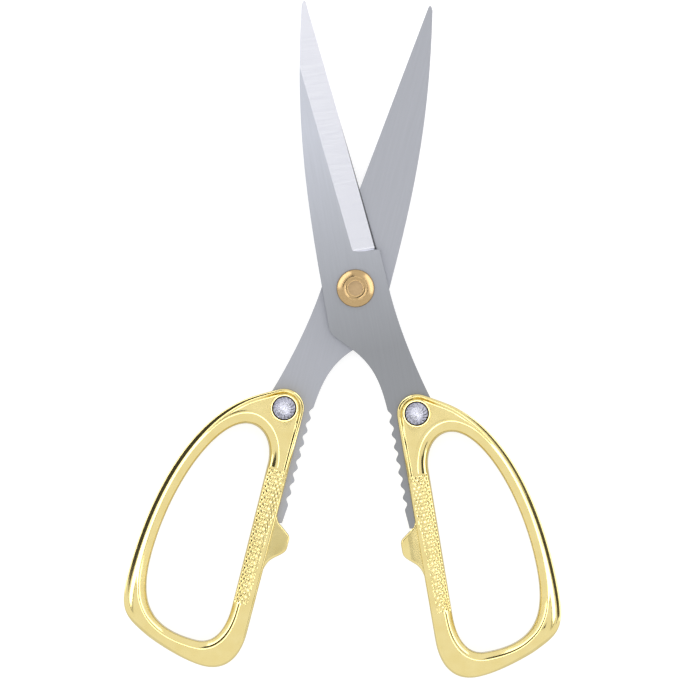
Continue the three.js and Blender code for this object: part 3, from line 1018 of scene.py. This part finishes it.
# %% [markdown]
# ### Satin stainless steel
# Rolled and stamped steel, belt-polished along the blade: a soft mid-grey sheen, with streaks that
# are much longer than wide. Real belt lines are about 0.05 mm apart, too fine to show here, so
# they are drawn about 0.5 mm apart. The outer face also carries a painted sheen, lighter from the
# neck towards the middle of the blade.

# %% Satin steel
STREAKS = (0.5, 14, 0.5)  # size of a streak across, along and through the blade
PAINTED_SHEEN = (-18, 45)  # painted sheen: the outer face is brighter from the neck up to here
FACES = (0.5, 2.2)  # heights of the inner and the outer face

satin, tree, shader = new_finish("satin_stainless_steel")
drawn, streaks = brushed(tree, STREAKS, 3.0)
where = node(tree, "SeparateXYZ", {"Vector": drawn})
along = node(tree, "MapRange", {
    "Value": where.outputs["Y"], "From Min": PAINTED_SHEEN[0] * MM, "From Max": PAINTED_SHEEN[1] * MM,
})
outside = node(tree, "MapRange", {
    "Value": where.outputs["Z"], "From Min": FACES[0] * MM, "From Max": FACES[1] * MM,
})
# painted sheen: the outer face's colour brightens from the neck towards the middle of the blade, in
# place of the roof lamp's reflection
painted_sheen = node(tree, "ValToRGB", {"Fac": along.outputs["Result"]})
set_stops(painted_sheen, (colour("95979B"), colour("C7CAD3")))
faces = node(tree, "Mix", {
    "Factor": outside.outputs["Result"], "A": colour("AFB1B8"), "B": painted_sheen.outputs["Color"],
}, data_type="RGBA")
faint = node(tree, "MapRange", {
    "Value": streaks, "From Min": 0.3, "From Max": 0.7, "To Min": 0.97, "To Max": 1.03,
})
tone = node(tree, "VectorMath", {
    0: faces.outputs["Result"], 1: faint.outputs["Result"],
}, operation="MULTIPLY")
gloss = node(tree, "MapRange", {"Value": streaks, "To Min": 0.52, "To Max": 0.58})
bump = node(tree, "Bump", {"Height": streaks, "Strength": 0.1, "Distance": 0.01 * MM})
wire(tree, shader, {
    "Base Color": tone.outputs["Vector"], "Roughness": gloss.outputs["Result"],
    "Normal": bump.outputs["Normal"], "Metallic": 1,
})

# %% [markdown]
# ### Ground bevel
# The same steel, cut by a fine wheel across the edge and left brighter, with faint lines square to
# the edge, about 0.7 mm apart as drawn. Along the cutting edge a dark strip, half a millimetre wide
# at the heel, is painted shadow: a darker tone in place of the shade in the gap where the blades
# meet.

# %% Ground steel
WHEEL_LINES = (9, 0.7, 9)  # size of a wheel's line across, along and through the blade
# painted shadow: a dark strip along the cutting edge, in place of the shade in the gap between the
# blades
EDGE_SHADE_WIDTH = 0.55
EDGE_SHADE_START = 12
EDGE_SHADE_END = 52  # the painted shadow narrows to nothing here
EDGE_SHADE_BORDER = 0.1  # width of its soft border

ground, tree, shader = new_finish("ground_stainless_bevel")
drawn, lines = brushed(tree, WHEEL_LINES, 4.0)
tone = node(tree, "ValToRGB", {"Fac": lines})
set_stops(tone, (colour("EDEEF7"), colour("F2F3FB")), (0.32, 0.6))
edge_slope = EDGE_REACH / (BLADE_LENGTH - EDGE_START)
narrowing = EDGE_SHADE_WIDTH / (EDGE_SHADE_END - EDGE_SHADE_START)
inside = node(tree, "VectorMath", {
    0: drawn, 1: (-1, narrowing - edge_slope, 0),
}, operation="DOT_PRODUCT")
edge_shade_end = (narrowing * EDGE_SHADE_END - edge_slope * BLADE_LENGTH) * MM
# the painted shadow's mask: dark where the strip lies, ground steel beside it
painted_edge_shade = node(tree, "MapRange", {
    "Value": inside.outputs["Value"],
    "From Min": edge_shade_end - EDGE_SHADE_BORDER * MM, "From Max": edge_shade_end,
})
steel = node(tree, "Mix", {
    "Factor": painted_edge_shade.outputs["Result"], "A": colour("66676C"), "B": tone.outputs["Color"],
}, data_type="RGBA")
wire(tree, shader, {"Base Color": steel.outputs["Result"], "Metallic": 1, "Roughness": 0.26})

# %% [markdown]
# ### Gold electroplate
# Polished zinc casting with a thin layer of bright gold. It is almost a mirror, a little wavy from
# the polishing wheel. The waves are about 4 mm long and only bend the reflections slightly, and
# the gloss changes a little from place to place.

# %% Gold plate
POLISH_WAVE = 4.0

plated, tree, shader = new_finish("bright_gold_electroplate")
waves, tone = mottled(tree, POLISH_WAVE, 2.0, ("EAD793", "EEDD9D"), (0.3, 0.7))
gloss = node(tree, "MapRange", {"Value": waves, "To Min": 0.1, "To Max": 0.14})
bump = node(tree, "Bump", {"Height": waves, "Strength": 0.08, "Distance": 0.03 * MM})
wire(tree, shader, {
    "Base Color": tone, "Roughness": gloss.outputs["Result"],
    "Normal": bump.outputs["Normal"], "Metallic": 1,
})

# %% [markdown]
# ### Brass, pin steel, glass, foil and the dark seat
# The caps are turned brass, deeper in colour than the plating and a little uneven from the tool.
# The rivet is the same brass, made dull by the blows that peened it. The stones are lead glass,
# clear with a sharp gloss, over silver foil with a lilac cast. The seats are painted dark brown:
# painted shade in the deep narrow gap round each stone.

# %% Turned and peened brass
TOOL_MARK = 0.35
BLOW = 0.6

brass, tree, shader = new_finish("turned_brass")
marks, tone = mottled(tree, TOOL_MARK, 2.0, ("BC9E70", "C6AA7E"), (0.3, 0.7))
gloss = node(tree, "MapRange", {"Value": marks, "To Min": 0.2, "To Max": 0.28})
wire(tree, shader, {"Base Color": tone, "Roughness": gloss.outputs["Result"], "Metallic": 1})

peened, tree, shader = new_finish("peened_brass")
tone = mottled(tree, BLOW, 1.0, ("B49974", "C6AB84"))[1]
wire(tree, shader, {"Base Color": tone, "Metallic": 1, "Roughness": 0.5})

# %% Pin steel, glass, foil and seat
DRAWN_GRAIN = 0.4
CRUMPLE = 0.6
SEAT_SHADE_MOTTLE = 0.5

pin_steel, tree, shader = new_finish("drawn_steel_pin")
place = node(tree, "TexCoord")
grain = node(tree, "TexNoise", {
    "Vector": place.outputs["Object"], "Scale": 1 / (DRAWN_GRAIN * MM),
})
gloss = node(tree, "MapRange", {"Value": grain.outputs["Fac"], "To Min": 0.3, "To Max": 0.45})
wire(tree, shader, {
    "Base Color": colour("A8A9AC"), "Roughness": gloss.outputs["Result"], "Metallic": 1,
})

crystal, tree, shader = new_finish("cut_lead_glass")
wire(tree, shader, {
    "Base Color": colour("F4F5FA"), "Roughness": 0.02, "IOR": 1.54, "Transmission Weight": 1,
})

silvered, tree, shader = new_finish("silver_foil_backing")
tone = mottled(tree, CRUMPLE, 1.0, ("D2D1DC", "ECEBF4"), (0.35, 0.65))[1]
wire(tree, shader, {"Base Color": tone, "Metallic": 1, "Roughness": 0.3})

# painted shade: the seats are coloured dark brown, in place of the shade in the deep narrow gap round
# each stone
painted_seat_shade, tree, shader = new_finish("painted_shade_in_seat")
tone = mottled(tree, SEAT_SHADE_MOTTLE, 2.0, ("2A2115", "4A3A22"))[1]
wire(tree, shader, {"Base Color": tone, "Roughness": 0.5})

# %% [markdown]
# ## Put the pieces together
# The handle gets its two finishes, plating all over and painted shade in the seats. Then every drawn
# piece is copied for the other half, turned into place and hung on the body it rides on, and the
# solids it stands for are hidden.

# %% Finish the drawn pieces
SEAT_SHADE_DROP = 0.12  # the painted shade ends so far under the setting's top

bar.data.materials.clear()
bar.data.materials.append(plated)
bar.data.materials.append(painted_seat_shade)
for face in bar.data.polygons:
    x, y, z = face.center / MM
    away = math.hypot(x - BOSS[0], y - BOSS[1])
    deep = SEAT_FLOOR - NEAR < abs(z) < HANDLE_TOP - SEAT_SHADE_DROP
    face.material_index = 1 if deep and away < SEAT_RADIUS + NEAR else 0
blade.data.materials[0] = satin
blade.data.materials[1] = ground
cap.data.materials.append(brass)
rivet.data.materials.append(peened)
glass.data.materials.append(crystal)
foil.data.materials.append(silvered)
for piece, sharp, weight in ((bar, 40, 50), (blade, 12, 100), (cap, 40, 50), (rivet, 40, 50)):
    choose(piece)
    bpy.ops.object.shade_smooth_by_angle(angle=math.radians(sharp))
    apply_modifier(piece, "flats", "WEIGHTED_NORMAL", weight=weight, keep_sharp=True)
for piece in (glass, foil):
    choose(piece)
    bpy.ops.object.shade_flat()

# %% Both halves
HALVES = (
    ("front", "right", "front_half", FRONT_PLACE, ("front", "rear")),
    ("rear", "left", "rear_half", REAR_PLACE, ("rear", "front")),
)
to_stone = Matrix.Translation(Vector((*BOSS, 0)) * MM)
TURNED_STONE = to_stone @ turn_over @ to_stone.inverted()


def mount(obj, name, place, body, slot, *nodes):
    """Turns a copy of a drawn piece into its place, names it, hangs it on its body and hides the
    solids it stands for.
    """
    choose(obj)
    bpy.ops.object.duplicate(linked=False)
    piece = bpy.context.object
    piece.name = name
    piece.data.name = name
    piece.matrix_world = place
    bpy.ops.object.transform_apply(location=True, rotation=True, scale=True)
    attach(piece, body)
    if nodes:
        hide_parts(*nodes)


for which, side, body, place, faces in HALVES:
    mount(blade, which + "_ground_blade", place, body, "blade_steel", which + "_blade")
    mount(bar, side + "_plated_handle", place, body, "plated_handle", side + "_handle")
    for face, stone_turn in zip(faces, (Matrix.Identity(4), TURNED_STONE)):
        name = side + "_" + face
        mount(glass, name + "_crystal", place @ stone_turn, body, "cut_glass", name + "_gem")
        mount(foil, name + "_foil", place @ stone_turn, body, "cut_glass")
    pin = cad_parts[side + "_handle_pin"]
    pin.data.materials.clear()
    pin.data.materials.append(pin_steel)

mount(cap, "front_domed_cap", lift, "rear_half", "pivot_brass", "pivot_front_cap")
mount(cap, "rear_domed_cap", lift @ turn_over, "rear_half", "pivot_brass", "pivot_rear_cap")
mount(rivet, "peened_rivet", lift, "rear_half", "pivot_brass", "pivot_rivet")
for drawn_piece in (bar, blade, cap, rivet, glass, foil):
    bpy.data.objects.remove(drawn_piece)

# %% [markdown]
# ## Floor and light
# The shears lie on a plain white floor in a light tent. Polished metal shows its surroundings, so
# these matter more than the lamps: white sides, a round soft lamp in the roof with a grey ring
# round it, and two low soft lamps, which the steep slopes and the ground bevel face. Five dark
# cards draw the dark lines along the bows, the rolls and the feet.

# %% Floor
FLOOR_SIZE = 16
FLOOR_DROP = 0.05  # just under the shears
PAPER = (0.45, 0.45, 0.45, 1)
SEEN_GLOW = 0.72  # makes the paper white where the camera or the glass sees it
MIRRORED_GLOW = 0.3  # and lighter where metal mirrors it

bpy.ops.mesh.primitive_plane_add(size=FLOOR_SIZE)
floor = bpy.context.object
floor.name = "floor"
floor.location.z = -FLOOR_DROP * MM
white_floor = bpy.data.materials.new("white_paper_floor")
white_floor.use_nodes = True
tree = white_floor.node_tree
tree.nodes.clear()
path = node(tree, "LightPath")
seen = node(tree, "Math", {
    0: path.outputs["Is Camera Ray"], 1: path.outputs["Is Transmission Ray"],
}, operation="MAXIMUM")
paper = node(tree, "BsdfDiffuse", {"Color": PAPER})
mirrored = node(tree, "Math", {
    0: path.outputs["Is Glossy Ray"], 1: MIRRORED_GLOW,
}, operation="MULTIPLY")
glow = node(tree, "Math", {
    0: seen.outputs[0], 1: SEEN_GLOW, 2: mirrored.outputs[0],
}, operation="MULTIPLY_ADD")
lit = node(tree, "Emission", {"Strength": glow.outputs[0]})
both = node(tree, "AddShader", {0: paper.outputs[0], 1: lit.outputs[0]})
node(tree, "OutputMaterial", {"Surface": both.outputs[0]})
floor.data.materials.append(white_floor)

# %% Tent
WHITE = (1, 1, 1, 1)
RING = (0.45, 0.45, 0.45, 1)
RING_EDGE = (0.97, 0.979)  # heights on the dome between which white turns to the ring's grey

world = bpy.data.worlds.new("light_tent")
bpy.context.scene.world = world
world.use_nodes = True
tree = world.node_tree
tree.nodes.clear()
path = node(tree, "LightPath")
way = node(tree, "TexCoord")
height = node(tree, "SeparateXYZ", {"Vector": way.outputs["Generated"]})
roof = node(tree, "ValToRGB", {"Fac": height.outputs["Z"]})
set_stops(roof, (WHITE, RING), RING_EDGE)
tent = node(tree, "Background", {"Color": roof.outputs["Color"], "Strength": 1.0})
backdrop = node(tree, "Background", {"Color": WHITE, "Strength": 1.0})
shown = node(tree, "MixShader", {
    0: path.outputs["Is Camera Ray"], 1: tent.outputs[0], 2: backdrop.outputs[0],
})
node(tree, "OutputWorld", {"Surface": shown.outputs[0]})

# %% Lamps
AIM = Vector((0, -0.015, 0))  # all lamps face the middle of the shears
LOW_LAMP = (2.4, 0.5)


def lamp(name, shape, size, place, level):
    """A soft lamp that faces the shears and sends out an even level of light."""
    data = bpy.data.lights.new(name, "AREA")
    data.shape = shape
    data.size = size[0]
    data.size_y = size[1]
    area = size[0] * size[1] * (math.pi / 4 if shape == "ELLIPSE" else 1)
    data.energy = level * math.pi * area
    obj = bpy.data.objects.new(name, data)
    bpy.context.scene.collection.objects.link(obj)
    obj.location = place
    obj.rotation_euler = (AIM - Vector(place)).to_track_quat("-Z", "Y").to_euler()
    obj.visible_camera = False


def on_dome(distance, azimuth, polar):
    """A place at an azimuth and an angle from straight up."""
    a, p = math.radians(azimuth), math.radians(polar)
    return distance * Vector((math.sin(p) * math.cos(a), math.sin(p) * math.sin(a), math.cos(p)))


lamp("roof_lamp", "ELLIPSE", (0.84, 0.84), (0, 0.04, 2.6), 3.3)
lamp("left_lamp", "RECTANGLE", LOW_LAMP, on_dome(1.8, 145, 69), 2.0)
lamp("right_lamp", "RECTANGLE", LOW_LAMP, on_dome(1.8, 20, 69), 2.0)

# %% Dark cards
CARD_DISTANCE = 1.5
CARD_TONE = (0.06, 0.06, 0.06, 1)
CARDS = (  # width and height, azimuth and angle from straight up
    ("upper_card", (1.1, 0.85), 124, 45),
    ("left_card", (1.1, 0.85), 151, 45),
    ("right_card", (1.4, 0.22), 20, 50),
    ("low_right_card", (0.5, 0.45), 5, 44.5),
    ("front_card", (0.4, 0.2), 342, 47),
)

black, tree, shader = new_finish("black_card")
wire(tree, shader, {"Base Color": CARD_TONE, "Roughness": 1})
for name, size, azimuth, polar in CARDS:
    bpy.ops.mesh.primitive_plane_add(size=1)
    card = bpy.context.object
    card.name = name
    card.scale = (*size, 1)
    card.location = on_dome(CARD_DISTANCE, azimuth, polar)
    card.rotation_euler = (-card.location).to_track_quat("Z", "Y").to_euler()
    card.visible_camera = False
    card.visible_diffuse = False
    card.visible_shadow = False
    card.data.materials.append(black)

# %% View settings
bpy.context.scene.view_settings.view_transform = "Standard"
